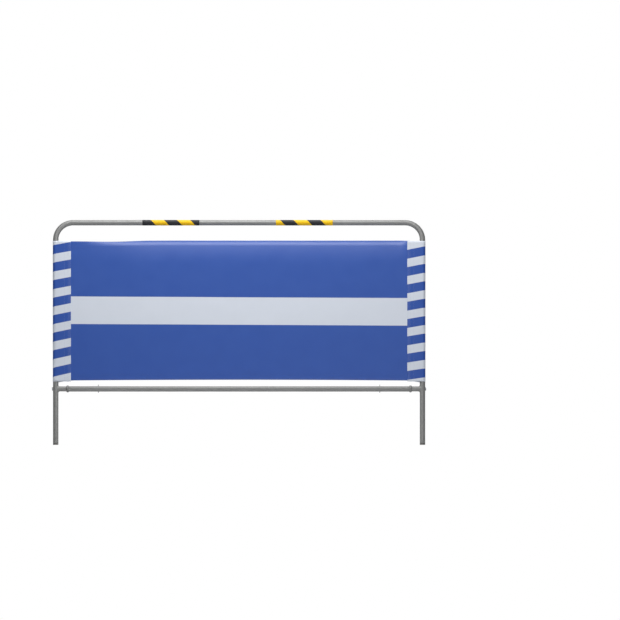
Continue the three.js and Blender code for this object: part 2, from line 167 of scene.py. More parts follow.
class Finish:
    """A material whose surface is one Principled shader."""

    def __init__(self, name, **constants):
        self.material = bpy.data.materials.new(name)
        self.material.use_nodes = True
        self.tree = self.material.node_tree
        self.shader = self.tree.nodes["Principled BSDF"]
        for socket, value in constants.items():
            self.shader.inputs[socket.replace("_", " ")].default_value = value

    def node(self, kind, settings=None, sockets=None, output=0):
        made = self.tree.nodes.new("ShaderNode" + kind)
        for name, value in (settings or {}).items():
            setattr(made, name, value)
        for name, value in (sockets or {}).items():
            self.feed(made.inputs[name], value)
        return Wire(self, made.outputs[output])

    def feed(self, socket, value):
        if isinstance(value, Wire):
            self.tree.links.new(value.socket, socket)
        else:
            socket.default_value = value

    def maths(self, operation, *values):
        return self.node("Math", {"operation": operation}, dict(enumerate(values)))

    def stretch(self, vector, scales):
        return self.node("VectorMath", {"operation": "MULTIPLY"}, {0: vector, 1: scales})

    def cloud(self, vector, size, detail=3.0):
        """Soft noise from 0 to 1, with features of about that size."""
        sockets = {"Vector": vector, "Scale": 1 / size, "Detail": detail}
        return self.node("TexNoise", None, sockets)

    def ease(self, value, low, high):
        """0 below low, 1 above high, and smooth between."""
        sockets = {"Value": value, "From Min": low, "From Max": high}
        return self.node("MapRange", {"interpolation_type": "SMOOTHSTEP"}, sockets)

    def bars(self, level, share, soft):
        """1 on bars that take this share of each unit of level, soft at their edges, and 0 between."""
        half = 0.5 - share / 2
        return self.ease(abs(level % 1 - 0.5), half - soft, half + soft)

    def mix(self, share, first, second):
        """The first colour where share is 0 and the second where it is 1."""
        return self.node("Mix", {"data_type": "RGBA"}, {0: share, 6: first, 7: second}, 2)

    def attribute(self, name, output="Vector"):
        return self.node("Attribute", {"attribute_name": name}, None, output)

    def place(self):
        return self.node("TexCoord", None, None, "Object")

    def parts_of(self, vector):
        """The three numbers of a vector."""
        first = self.node("SeparateXYZ", None, {0: vector})
        return [Wire(self, socket) for socket in first.socket.node.outputs]

    def relief(self, height, depth, strength=1.0):
        """Bumps of a height from 0 to 1, as deep as depth."""
        sockets = {"Height": height, "Distance": depth, "Strength": strength}
        bump = self.node("Bump", None, sockets)
        self.tree.links.new(bump.socket, self.shader.inputs["Normal"])

    def surface(self, **wires):
        for socket, value in wires.items():
            self.feed(self.shader.inputs[socket.replace("_", " ")], value)
        return self.material


def screen(red, green, blue):
    """A linear colour from one as a screen shows it, 0 to 255."""
    shares = [value / 255 for value in (red, green, blue)]
    return (*(v / 12.92 if v <= 0.04045 else ((v + 0.055) / 1.055) ** 2.4 for v in shares), 1.0)


floor_finish = Finish("pale_floor", Roughness=0.7)
floor_tone = floor_finish.cloud(floor_finish.place(), 0.4)
floor_colour = floor_finish.mix(floor_tone, screen(232, 233, 235), screen(240, 240, 241))
floor.data.materials.append(floor_finish.surface(Base_Color=floor_colour))


# The front pipe: one length of zinc-coated steel pipe, bent to an inverted U. Roll-forming leaves
# fine lines along it, and a thin weld seam runs down its hidden side.
LEAN = radians(12.5)
SEAT = 0.3 * MM
PIPE_RADIUS = 21.7 / 2 * MM
PIPE_BORE = PIPE_RADIUS - 1.5 * MM
BEND_RADIUS = 70 * MM
PIPE_SIDES = 48
BEND_STEPS = 24
SEAM_WIDTH = 1.1 * MM
SHARP = radians(32)
DOUBLES = 0.001 * MM

feet = {mount["name"]: Vector(mount["pos_m"]) for mount in frame["record"]["mounts"]}
LEG_X = feet["front_foot_right"].x
FOOT_SLOPE = PIPE_RADIUS * tan(LEAN) + 2 * MM + SEAT
TOP_SLOPE = (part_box("front_frame_tube")[1].z - PIPE_RADIUS) / cos(LEAN)
BEND_SLOPE = TOP_SLOPE - BEND_RADIUS


def leaning(end):
    """Where a frame stands: in it, z runs up the slope and y points away from its face."""
    y = feet[end + "_foot_left"].y
    return shift(0, y, 0) @ Matrix.Rotation(copysign(LEAN, y), 4, "X")


FRONT = leaning("front")
REAR = leaning("rear")
FRAMES = (("front", FRONT), ("rear", REAR))
SIDES = (("left", -1), ("right", 1))
CORNERS = [(end, place, hand, side) for end, place in FRAMES for hand, side in SIDES]
MIRROR = Matrix.Scale(-1, 4, (1, 0, 0))


def slope_of(height):
    return height / cos(LEAN)


def piece(name, shape, finish, replaced=(), place=None, body="front_frame", close=True):
    """Makes an object of a shape, in its place, that rides on a body."""
    if close:
        bmesh.ops.remove_doubles(shape, verts=shape.verts, dist=DOUBLES)
        bmesh.ops.recalc_face_normals(shape, faces=shape.faces)
    if place:
        shape.transform(place)
    for face in shape.faces:
        face.smooth = True
    for edge in shape.edges:
        if len(edge.link_faces) == 2 and edge.calc_face_angle() > SHARP:
            edge.smooth = False
    made = stand(name, shape)
    for material in finish if isinstance(finish, tuple) else (finish,):
        made.data.materials.append(material)
    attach(made, body)
    if replaced:
        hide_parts(*replaced)
    return made


def mark_run(shape, straighten=Vector):
    """Keeps, at each point, where it was before any bending: two numbers across, one along."""
    layer = shape.verts.layers.float_vector.new("run")
    for vert in shape.verts:
        vert[layer] = straighten(vert.co)


def pipe_ring(outer, bore):
    """A flat ring of pipe wall, facing up."""
    shape = bmesh.new()
    for radius in (outer, bore):
        bmesh.ops.create_circle(shape, segments=PIPE_SIDES, radius=radius)
    bmesh.ops.bridge_loops(shape, edges=shape.edges[:])
    return shape


def only(kind, items):
    return [item for item in items if isinstance(item, kind)]


def draw_out(shape, faces, step):
    """Extrudes faces by a step and returns the new end faces."""
    made = bmesh.ops.extrude_face_region(shape, geom=faces)["geom"]
    bmesh.ops.translate(shape, verts=only(bmesh.types.BMVert, made), vec=step)
    return only(bmesh.types.BMFace, made)


def spin(shape, items, centre, axis, angle, steps, merge=False):
    """Spins items about an axis and returns those at the end of the turn."""
    return bmesh.ops.spin(
        shape, geom=items, cent=centre, axis=axis, dvec=(0, 0, 0), angle=angle,
        space=Matrix.Identity(4), steps=steps, use_merge=merge, use_duplicate=False,
    )["geom_last"]


def bend(shape, faces, centre):
    """Spins faces a quarter turn in the frame's plane and returns the new end faces."""
    return only(bmesh.types.BMFace, spin(shape, faces, centre, (0, 1, 0), pi / 2, BEND_STEPS))


def follow_front_frame(shape):
    """Draws a flat section out along the front pipe's line, from foot to foot."""
    shape.transform(shift(-LEG_X, 0, FOOT_SLOPE))
    leading = draw_out(shape, shape.faces[:], (0, 0, BEND_SLOPE - FOOT_SLOPE))
    leading = bend(shape, leading, (-LEG_X + BEND_RADIUS, 0, BEND_SLOPE))
    leading = draw_out(shape, leading, (2 * (LEG_X - BEND_RADIUS), 0, 0))
    leading = bend(shape, leading, (LEG_X - BEND_RADIUS, 0, BEND_SLOPE))
    draw_out(shape, leading, (0, 0, FOOT_SLOPE - BEND_SLOPE))


def straight_front_pipe(co):
    """Unbends the front pipe: each half runs up from its foot."""
    side = copysign(1, co.x)
    across = abs(co.x) - (LEG_X - BEND_RADIUS)
    above = co.z - BEND_SLOPE
    if above <= 0:
        out, along = abs(co.x) - LEG_X, co.z
    elif across >= 0:
        out = hypot(across, above) - BEND_RADIUS
        along = BEND_SLOPE + BEND_RADIUS * atan2(above, across)
    else:
        out, along = co.z - TOP_SLOPE, BEND_SLOPE + BEND_RADIUS * pi / 2 - across
    return Vector((out, co.y, side * (along - TOP_SLOPE - LEG_X)))


def galvanised(name, dark, light, roughness, seamed=False):
    """Zinc-coated steel: drawn lines, small spangles, dull clouds, a few paler bloom spots, and the
    pipe's own seam along its back."""
    steel = Finish(name, Metallic=1.0)
    run = steel.attribute("run")
    lines = steel.cloud(steel.stretch(run, (1, 1, 0.012)), 0.9 * MM, 2.0)
    wide_lines = steel.cloud(steel.stretch(run, (1, 1, 0.02)), 4 * MM, 1.0)
    clouds = steel.cloud(run, 38 * MM)
    cells = steel.node("TexVoronoi", None, {"Vector": run, "Scale": 1 / (3.2 * MM)}, "Color")
    spangle = steel.parts_of(cells)[0]
    bloom = steel.ease(steel.cloud(run, 11 * MM, 5.0), 0.62, 0.74)
    tone = 0.36 * lines + 0.24 * wide_lines + 0.22 * clouds + 0.18 * spangle
    zinc = steel.mix(tone, dark, light)
    colour = steel.mix(0.3 * bloom, zinc, screen(176, 178, 178))
    height = 0.7 * lines + 0.3 * wide_lines
    if seamed:
        out, back, _ = steel.parts_of(run)
        off_seam = steel.ease(abs(out), 0.3 * SEAM_WIDTH, 0.5 * SEAM_WIDTH)
        seam = (1 - off_seam) * steel.ease(back, 0, PIPE_RADIUS / 2)
        colour = steel.mix(0.45 * seam, colour, dark)
        height = height + 2 * seam
    rough = roughness + 0.14 * clouds + 0.08 * lines + 0.1 * bloom
    steel.relief(height, 0.02 * MM, 0.4)
    return steel.surface(Base_Color=colour, Roughness=rough)


PIPE_STEEL = galvanised("galvanised_pipe", screen(140, 141, 141), screen(180, 180, 178), 0.58, True)

front_pipe = pipe_ring(PIPE_RADIUS, PIPE_BORE)
follow_front_frame(front_pipe)
mark_run(front_pipe, straight_front_pipe)
piece("front_pipe", front_pipe, PIPE_STEEL, ["front_frame_tube"], FRONT)


# The crossbars: one straight pipe low in each frame, with a bead rolled at each end to stiffen the
# mouth that slides over its stub. Same zinc-coated pipe as the frames.
CROSSBAR_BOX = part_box("front_crossbar")
CROSSBAR_END = CROSSBAR_BOX[1].x
CROSSBAR_SLOPE = slope_of((CROSSBAR_BOX[0].z + CROSSBAR_BOX[1].z) / 2)
TO_CROSSBAR = shift(0, 0, CROSSBAR_SLOPE)
BEAD_RADIUS = 14 * MM
BEAD_WIDTH = 10 * MM
BEAD_ROUND = 4 * MM
BEAD_STEPS = 6


def arc(x, y, radius, start, end, steps):
    """Points along an arc, in degrees."""
    turns = [radians(start + (end - start) * i / steps) for i in range(steps + 1)]
    return [(x + radius * cos(turn), y + radius * sin(turn)) for turn in turns]


def turned(profile, closed=True):
    """A profile of places along x and radii, spun round the x axis."""
    shape = bmesh.new()
    ring = [shape.verts.new((along, 0, radius)) for along, radius in profile]
    ends = ring[1:] + ring[:1] if closed else ring[1:]
    edges = [shape.edges.new(pair) for pair in zip(ring, ends)]
    spin(shape, ring + edges, (0, 0, 0), (1, 0, 0), 2 * pi, PIPE_SIDES, merge=True)
    bmesh.ops.remove_doubles(shape, verts=shape.verts, dist=DOUBLES)
    return shape


def along_x(co):
    return Vector((co.z, co.y, co.x))


def bead_profile():
    """The right end of a crossbar, from its plain wall round the bead to the bore."""
    start = CROSSBAR_END - BEAD_WIDTH
    rise = BEAD_RADIUS - PIPE_RADIUS
    back = arc(start + BEAD_ROUND, BEAD_RADIUS - BEAD_ROUND, BEAD_ROUND, 140, 90, BEAD_STEPS)
    mouth = arc(CROSSBAR_END - BEAD_ROUND, BEAD_RADIUS - BEAD_ROUND, BEAD_ROUND, 90, 12, BEAD_STEPS)
    lip = arc(CROSSBAR_END - MM, PIPE_BORE + MM, MM, 0, -90, 3)
    return [(start - rise / 2, PIPE_RADIUS), *back, *mouth, *lip]


for end, place in FRAMES:
    right = bead_profile()
    left = [(-along, radius) for along, radius in reversed(right)]
    crossbar = turned(right + left)
    mark_run(crossbar, along_x)
    piece(
        end + "_crossbar_pipe", crossbar, PIPE_STEEL, [end + "_crossbar"],
        place @ TO_CROSSBAR, end + "_frame",
    )


# The stubs: turned steel between each leg and its crossbar. The thin end slides into the crossbar up
# to a shoulder, the neck is drawn up against the leg with a fillet, and the leg bolt runs inside.
STUB_RADIUS = PIPE_BORE - SEAT
STUB_BORE = 4.3 * MM
STUB_INSERTION = 45 * MM
STUB_EDGE = 0.6 * MM
NECK_RADIUS = 10.1 * MM
FILLET_REACHES = (6 * MM, 3.5 * MM, 1.8 * MM, 0.6 * MM, 0.0)  # off the leg
FILLET_RISES = (1.0, 1.05, 1.16, 1.32, 1.42)  # shares of the neck's height


def meet_leg(shape):
    """Turns a stub's last rings into the fillet that lies on the round leg."""
    for vert in shape.verts:
        off_leg = LEG_X - vert.co.x
        for reach, rise in zip(FILLET_REACHES, FILLET_RISES):
            if abs(off_leg - reach) < DOUBLES:
                vert.co.x = LEG_X - reach - sqrt((PIPE_RADIUS + SEAT) ** 2 - vert.co.y**2)
                vert.co.z *= rise


for end, place, hand, side in CORNERS:
    inside = CROSSBAR_END - STUB_INSERTION
    shoulder = CROSSBAR_END + SEAT
    stub = turned([
        (inside, STUB_BORE),
        (inside, STUB_RADIUS - STUB_EDGE),
        (inside + STUB_EDGE, STUB_RADIUS),
        (shoulder, STUB_RADIUS),
        (shoulder, NECK_RADIUS - STUB_EDGE),
        (shoulder + STUB_EDGE, NECK_RADIUS),
        *((LEG_X - reach, NECK_RADIUS) for reach in FILLET_REACHES),
        (LEG_X, STUB_BORE),
    ])
    mark_run(stub, along_x)
    meet_leg(stub)
    if side < 0:
        stub.transform(MIRROR)
    node = f"{end}_crossbar_stub_{hand}"
    piece(
        node + "_neck", stub, PIPE_STEEL, [node], place @ TO_CROSSBAR,
        end + "_frame",
    )


# The leg bolts: an M8 hexagon bolt, bright zinc, through each leg into its stub. The head is forged,
# low, with its corners chamfered and a round washer face under it.
LEG_BOLT_RADIUS = 4 * MM
LEG_BOLT_FLATS = 13 * MM
LEG_BOLT_HEAD = 3.5 * MM
LEG_BOLT_ENGAGEMENT = 18 * MM
HEX_SIDES = 6
HEX_POINTS = 48
HEX_CHAMFER = radians(30)
CROWN_SHARE = 0.94  # of the flats, across the round top face
WASHER_FACE = 0.4 * MM
TIP_CHAMFER = 0.8 * MM


def plated_steel():
    """Bright zinc plating: even, faintly blue, with rub marks and a little white bloom."""
    zinc = Finish("bright_zinc", Metallic=1.0)
    rubs = zinc.cloud(zinc.stretch(zinc.place(), (1, 1, 4)), 0.7 * MM)
    clouds = zinc.cloud(zinc.place(), 6 * MM)
    colour = zinc.mix(0.5 * rubs + 0.5 * clouds, screen(140, 145, 150), screen(206, 209, 212))
    zinc.relief(rubs, 0.02 * MM, 0.5)
    return zinc.surface(Base_Color=colour, Roughness=0.2 + 0.25 * clouds)


PLATED_STEEL = plated_steel()


def hex_reach(angle, flats):
    """From the axis to the side of a hexagon in this direction."""
    part = pi / (HEX_SIDES / 2)
    return flats / 2 / cos((angle + part / 2) % part - part / 2)


def edge_of(verts):
    """The edges whose two ends are both among these points."""
    inside = set(verts)
    return list({e for v in verts for e in v.link_edges if set(e.verts) <= inside})


def hex_block(shape, flats, foot, top, both=False):
    """Adds a hexagon block along x with its top corners chamfered, and its foot's too if both."""
    crown = CROWN_SHARE * flats / 2
    rise = copysign(1, top - foot)
    rings = []
    for end, way in ((foot, rise if both else 0), (top, -rise)):
        circle = bmesh.ops.create_circle(shape, segments=HEX_POINTS, radius=1)["verts"]
        for vert in circle:
            angle = atan2(vert.co.y, vert.co.x)
            reach = hex_reach(angle, flats)
            drop = way * max(0, reach - crown) * tan(HEX_CHAMFER)
            vert.co = Vector((end + drop, reach * cos(angle), reach * sin(angle)))
        rings.append(circle)
    edges = [edge_of(circle) for circle in rings]
    bmesh.ops.bridge_loops(shape, edges=edges[0] + edges[1])
    for circle, end in zip(edges, (foot, top)):
        ring = bmesh.ops.extrude_edge_only(shape, edges=circle)["geom"]
        verts = only(bmesh.types.BMVert, ring)
        for vert in verts:
            angle = atan2(vert.co.z, vert.co.y)
            vert.co = Vector((end, crown * cos(angle), crown * sin(angle)))
        bmesh.ops.contextual_create(shape, geom=edge_of(verts))


def rod(shape, radius, start, end, sides=24, chamfer=0.0):
    """Adds a rod along x, from start to end, with its end chamfered."""
    made = bmesh.ops.create_cone(
        shape, cap_ends=True, segments=sides, radius1=radius, radius2=radius,
        depth=abs(end - start),
        matrix=shift((start + end) / 2, 0, 0) @ Matrix.Rotation(pi / 2, 4, "Y"),
    )["verts"]
    if chamfer:
        tip = [v for v in made if abs(v.co.x - end) < DOUBLES]
        bmesh.ops.bevel(
            shape, geom=edge_of(tip), offset=chamfer, affect="EDGES", segments=1, profile=0.5,
            material=-1,
        )


for end, place, hand, side in CORNERS:
    seat = LEG_X + PIPE_RADIUS + SEAT
    bolt = bmesh.new()
    hex_block(bolt, LEG_BOLT_FLATS, seat + WASHER_FACE, seat + LEG_BOLT_HEAD)
    rod(bolt, CROWN_SHARE * LEG_BOLT_FLATS / 2, seat + WASHER_FACE, seat, HEX_POINTS)
    tip = LEG_X - PIPE_RADIUS - LEG_BOLT_ENGAGEMENT
    rod(bolt, LEG_BOLT_RADIUS, seat, tip, chamfer=TIP_CHAMFER)
    if side < 0:
        bolt.transform(MIRROR)
    node = f"{end}_crossbar_bolt_{hand}"
    piece(
        node + "_hex", bolt, PLATED_STEEL, [node], place @ TO_CROSSBAR,
        end + "_frame",
    )


# The feet: a moulded black plug in each leg's end. Its flange is cut level, so that the leaning leg
# stands flat, and has a shallow hollow moulded under it. Fine spark texture, greyed by road dust.
SPIGOT_RADIUS = PIPE_BORE - SEAT
SPIGOT_LENGTH = 16 * MM
FLANGE_EDGE = 0.5 * MM
TREAD_INSET = 2.4 * MM
TREAD_DEPTH = 0.5 * MM


def moulded_plastic():
    """Black moulded plastic: spark texture, with grey scuffs under a coat of dust."""
    plastic = Finish("black_plastic", Specular_IOR_Level=0.45)
    grain = plastic.cloud(plastic.place(), 0.35 * MM)
    scuffs = plastic.ease(plastic.cloud(plastic.place(), 2.5 * MM, 6.0), 0.52, 0.7)
    colour = plastic.mix(0.45 + 0.5 * scuffs, screen(38, 39, 41), screen(142, 140, 135))
    plastic.relief(grain, 0.05 * MM, 0.7)
    return plastic.surface(Base_Color=colour, Roughness=0.48 + 0.25 * scuffs)


PLASTIC = moulded_plastic()

for end, place, hand, side in CORNERS:
    plug = turned([
        (-PIPE_RADIUS, 0),
        (-PIPE_RADIUS, PIPE_RADIUS),
        (FOOT_SLOPE - SEAT - FLANGE_EDGE, PIPE_RADIUS),
        (FOOT_SLOPE - SEAT, PIPE_RADIUS - FLANGE_EDGE),
        (FOOT_SLOPE - SEAT, SPIGOT_RADIUS),
        (FOOT_SLOPE + SPIGOT_LENGTH - FLANGE_EDGE, SPIGOT_RADIUS),
        (FOOT_SLOPE + SPIGOT_LENGTH, SPIGOT_RADIUS - FLANGE_EDGE),
        (FOOT_SLOPE + SPIGOT_LENGTH, 0),
    ], closed=False)
    plug.transform(Matrix.Rotation(-pi / 2, 4, "Y"))
    plug.transform(place @ shift(side * LEG_X, 0, 0))
    cut = bmesh.ops.bisect_plane(
        plug, geom=plug.verts[:] + plug.edges[:] + plug.faces[:], dist=DOUBLES,
        plane_co=(0, 0, 0), plane_no=(0, 0, 1), clear_inner=True,
    )["geom_cut"]
    rim = only(bmesh.types.BMEdge, cut)
    tread = bmesh.ops.contextual_create(plug, geom=rim)["faces"]
    bmesh.ops.inset_region(plug, faces=tread, thickness=TREAD_INSET, use_even_offset=True)
    bmesh.ops.inset_region(plug, faces=tread, thickness=TREAD_DEPTH, use_even_offset=True)
    bmesh.ops.translate(
        plug, verts=list({v for face in tread for v in face.verts}), vec=(0, 0, TREAD_DEPTH)
    )
    node = f"{end}_foot_{hand}"
    piece(node + "_plug", plug, PLASTIC, [node], body=end + "_frame")


# The hinge brackets: a steel channel behind the top of each front leg, coped to the bent pipe and
# welded down both sides. Its two ears take the rear leg's flat end between them.
EAR_GAP = 5 * MM
EAR_THICKNESS = 2.5 * MM
EAR_RADIUS = 10 * MM
WEB_THICKNESS = 2.5 * MM
WEB_HALF_LENGTH = 13 * MM
PIVOT_HOLE = 3.3 * MM
PLATE_EDGE = 0.4 * MM
OVERRUN = 5 * MM
WELD_PITCH = 1.7 * MM
WELD_SIZE = (1.5 * MM, 1.9 * MM, 1.6 * MM)
WELD_REACH = WELD_SIZE[0] / 3  # of a bead's middle, off the side of its plate


def axis_of(name):
    """A point on a joint's axis."""
    return Vector(next(joint["pos_m"] for joint in frame["joints"] if joint["name"] == name))


HINGE = FRONT.inverted() @ axis_of("rear_frame_fold")


def plate(outline, thickness, holes=()):
    """A flat plate across x, from its outline's points of (back, up) and those of its holes."""
    shape = bmesh.new()
    for loop in (outline, *holes):
        ring = [shape.verts.new((-thickness / 2, back, up)) for back, up in loop]
        for pair in zip(ring, ring[1:] + ring[:1]):
            shape.edges.new(pair)
    bmesh.ops.triangle_fill(shape, use_beauty=True, edges=shape.edges[:])
    draw_out(shape, shape.faces[:], (thickness, 0, 0))
    bmesh.ops.recalc_face_normals(shape, faces=shape.faces)
    bmesh.ops.bevel(
        shape, geom=[edge for edge in shape.edges if edge.calc_face_angle(0) > SHARP],
        offset=PLATE_EDGE, offset_type="OFFSET", affect="EDGES", segments=2, profile=0.5,
        material=-1, clamp_overlap=True,
    )
    return shape


def carve(shape, *cutters):
    """Cuts closed shapes out of a closed shape, and returns what is left of it."""
    blanks = []
    for part in (shape, *cutters):
        bmesh.ops.recalc_face_normals(part, faces=part.faces)
        blanks.append(stand("blank", part))
    for cutter in blanks[1:]:
        cut = blanks[0].modifiers.new("cut", "BOOLEAN")
        cut.operation = "DIFFERENCE"
        cut.solver = "EXACT"
        cut.object = cutter
    left = bmesh.new()
    left.from_object(blanks[0], bpy.context.evaluated_depsgraph_get())
    for blank in blanks:
        mesh = blank.data
        bpy.data.objects.remove(blank)
        bpy.data.meshes.remove(mesh)
    return left


def pivot_drill(back, up, reach):
    """A rod to cut the pivot's hole with."""
    drill = bmesh.new()
    rod(drill, PIVOT_HOLE, -reach, reach)
    drill.transform(shift(0, back, up))
    return drill


def plate_run(co):
    """Rolled plate: its lines run from front to back."""
    return Vector((co.x, co.z, co.y))


def hinge_bracket(side):
    width = EAR_GAP + 2 * EAR_THICKNESS
    front = PIPE_RADIUS / 2
    outline = [
        (front, -WEB_HALF_LENGTH),
        *arc(HINGE.y, 0, EAR_RADIUS, -90, 90, 14),
        (front, WEB_HALF_LENGTH),
    ]
    web_back = PIPE_RADIUS + SEAT + WEB_THICKNESS
    slot = bmesh.new()
    bmesh.ops.create_cube(slot, size=1)
    depth = HINGE.y + EAR_RADIUS + OVERRUN - web_back
    slot.transform(Matrix.Diagonal((EAR_GAP, depth, 2 * (WEB_HALF_LENGTH + OVERRUN), 1)))
    slot.transform(shift(0, web_back + depth / 2, 0))
    pipe = bmesh.new()
    bmesh.ops.create_circle(pipe, cap_ends=True, segments=PIPE_SIDES, radius=PIPE_RADIUS + SEAT)
    follow_front_frame(pipe)
    pipe.transform(shift(-side * LEG_X, 0, -HINGE.z))
    shape = carve(plate(outline, width), slot, pivot_drill(HINGE.y, 0, width), pipe)
    mark_run(shape, plate_run)
    shape.transform(shift(side * LEG_X, 0, HINGE.z))
    return shape


def ripple(shape, x, back, up):
    """Adds one ripple of a weld bead."""
    place = shift(x, back, up) @ Matrix.Diagonal((*WELD_SIZE, 1))
    bmesh.ops.create_icosphere(shape, subdivisions=2, radius=1, matrix=place)


def hinge_weld(side):
    """A bead down each side of a bracket, of ripples that follow the pipe round its bend."""
    shape = bmesh.new()
    reach = EAR_GAP / 2 + EAR_THICKNESS + WELD_REACH
    count = round(2 * WEB_HALF_LENGTH / WELD_PITCH)
    for i in range(count + 1):
        up = HINGE.z + WEB_HALF_LENGTH * (2 * i / count - 1)
        above = max(0.0, up - BEND_SLOPE)
        drift = BEND_RADIUS - sqrt(BEND_RADIUS**2 - above**2)
        for way in (-1, 1):
            x = way * reach
            back = sqrt(PIPE_RADIUS**2 - (x + side * drift) ** 2)
            ripple(shape, side * LEG_X + x, back, up)
    mark_run(shape)
    return shape


BRACKET_STEEL = galvanised("galvanised_plate", screen(104, 106, 107), screen(160, 161, 160), 0.4)
WELD_STEEL = galvanised("painted_weld", screen(128, 129, 130), screen(158, 159, 160), 0.5)

for hand, side in SIDES:
    piece(
        "hinge_channel_" + hand, hinge_bracket(side), BRACKET_STEEL,
        ["hinge_bracket_" + hand], FRONT,
    )
    piece(
        "hinge_weld_" + hand, hinge_weld(side), WELD_STEEL, (),
        FRONT, close=False,
    )


# The rear legs: the same pipe, its top pressed flat between dies and rounded off, then drilled for
# the hinge bolt. The lower end is left open for the foot plug.
TAB_HALF = 1.8 * MM
TAB_LENGTH = 20 * MM
PRESS_LENGTH = 34 * MM
PRESS_STEPS = 14
END_SHARES = (0.0, 0.2, 0.4, 0.57, 0.72, 0.84, 0.93, 0.98, 1.0)  # of the pipe's radius, past the pivot
REAR_HINGE = (REAR.inverted() @ FRONT @ HINGE).z


def rear_leg():
    """A leg along x from its foot up, turned, pressed flat and drilled, and then stood upright."""
    flat_from = REAR_HINGE - TAB_LENGTH
    round_to = flat_from - PRESS_LENGTH
    bore_top = round_to - 1.5 * MM
    pressed = [(round_to + PRESS_LENGTH * i / PRESS_STEPS, PIPE_RADIUS) for i in range(PRESS_STEPS)]
    tip = [(REAR_HINGE + t * PIPE_RADIUS, PIPE_RADIUS * sqrt(1 - t * t)) for t in END_SHARES]
    shape = turned([
        (bore_top, 0),
        (bore_top, PIPE_BORE),
        (FOOT_SLOPE, PIPE_BORE),
        (FOOT_SLOPE, PIPE_RADIUS),
        *pressed,
        (flat_from, PIPE_RADIUS),
        *tip,
    ], closed=False)
    shape.transform(Matrix.Rotation(-pi / 2, 4, "Y"))
    for vert in shape.verts:
        press = smooth((vert.co.z - round_to) / PRESS_LENGTH)
        flat = min(TAB_HALF, max(-TAB_HALF, vert.co.x))
        vert.co.x += (flat - vert.co.x) * press
    shape = carve(shape, pivot_drill(0, REAR_HINGE, 2 * PIPE_RADIUS))
    mark_run(shape)
    return shape


def smooth(share):
    share = min(1.0, max(0.0, share))
    return share * share * (3 - 2 * share)


for hand, side in SIDES:
    node = "rear_leg_" + hand
    piece(
        node + "_pipe", rear_leg(), PIPE_STEEL, [node],
        REAR @ shift(side * LEG_X, 0, 0), "rear_frame",
    )


# The hinge bolts: an M6 hexagon bolt through the two ears and the leg's flat end, head outside, with
# a plain nut inside whose thread shows a little past it. Bright zinc, as the leg bolts.
PIVOT_RADIUS = 3 * MM
PIVOT_FLATS = 10 * MM
PIVOT_HEAD = 4 * MM
PIVOT_NUT = 5 * MM
PIVOT_PAST_NUT = 1.2 * MM

for hand, side in SIDES:
    ear = EAR_GAP / 2 + EAR_THICKNESS + SEAT
    seat, nut_from = LEG_X + ear, LEG_X - ear
    pivot = bmesh.new()
    hex_block(pivot, PIVOT_FLATS, seat, seat + PIVOT_HEAD)
    rod(pivot, PIVOT_RADIUS, seat, nut_from - PIVOT_NUT - PIVOT_PAST_NUT, chamfer=TIP_CHAMFER)
    nut = bmesh.new()
    hex_block(nut, PIVOT_FLATS, nut_from, nut_from - PIVOT_NUT, both=True)
    for name, shape, node in (("screw", pivot, "hinge_bolt_"), ("hexagon", nut, "hinge_nut_")):
        if side < 0:
            shape.transform(MIRROR)
        piece(
            f"{node}{name}_{hand}", shape, PLATED_STEEL,
            [node + hand], FRONT @ shift(0, HINGE.y, HINGE.z),
        )


# The spreaders: a tab welded behind the front crossbar carries, on a rivet, a flat steel hook that
# drops over the rear crossbar. Both are punched from 3 mm strip with their edges barrelled.
PLATE = 3 * MM
EYE_RADIUS = 9 * MM
RIVET_RADIUS = 3 * MM
RIVET_HEAD_RADIUS = 6 * MM
RIVET_HEAD = 2 * MM
RIVET_DOME_STEPS = 6
HOOK_PLAY = 3.6 * MM
HOOK_STOCK = 5.5 * MM
NOTCH_LIFT = 2 * MM
LIP_LENGTH = 9 * MM
HOLE_ROUND = (0, 345, 23)  # degrees from and to, and steps, of a hole's outline
LUG_WELD_TURN = 50  # degrees up and down from the crossbar's back
LUG_WELD_STEPS = 8
FRONT_BAR = FRONT @ Vector((0, 0, CROSSBAR_SLOPE))
REAR_BAR = REAR @ Vector((0, 0, CROSSBAR_SLOPE))


def spreader_tab(reach):
    """From the crossbar's back to a round end about the rivet."""
    bar = PIPE_RADIUS + SEAT
    cope = degrees(asin(EYE_RADIUS / bar))
    outline = [*arc(0, 0, bar, cope, -cope, 8), *arc(reach, 0, EYE_RADIUS, -90, 90, 14)]
    return plate(outline, PLATE, [arc(reach, 0, PIVOT_HOLE, *HOLE_ROUND)])


def spreader_hook(reach):
    """From its round eye at the rivet to a notch over the rear crossbar, with a lip behind it."""
    notch = PIPE_RADIUS + HOOK_PLAY
    centre = PIPE_RADIUS + SEAT - notch
    corner = 180 - degrees(asin((NOTCH_LIFT - centre) / notch))
    lip = HOOK_STOCK / 2
    outline = [
        *arc(0, 0, EYE_RADIUS, 90, 270, 14),
        *arc(reach, centre, notch, corner, 0, 16),
        *arc(reach + notch + lip, centre - LIP_LENGTH, lip, -180, 0, 8),
        *arc(reach, centre, notch + HOOK_STOCK, 0, 90, 12),
    ]
    return plate(outline, PLATE, [arc(0, 0, PIVOT_HOLE, *HOLE_ROUND)])


def rivet():
    """A shank with a low domed head at each end, each head clear of the plates by a seat."""
    half = PLATE + 1.5 * SEAT
    dome = [
        (half + RIVET_HEAD * sin(turn), RIVET_HEAD_RADIUS * cos(turn))
        for turn in (pi / 2 * i / RIVET_DOME_STEPS for i in range(RIVET_DOME_STEPS + 1))
    ]
    right = [(0, RIVET_RADIUS), (half, RIVET_RADIUS), *dome]
    left = [(-along, radius) for along, radius in reversed(right[1:])]
    return turned(left + right, closed=False)


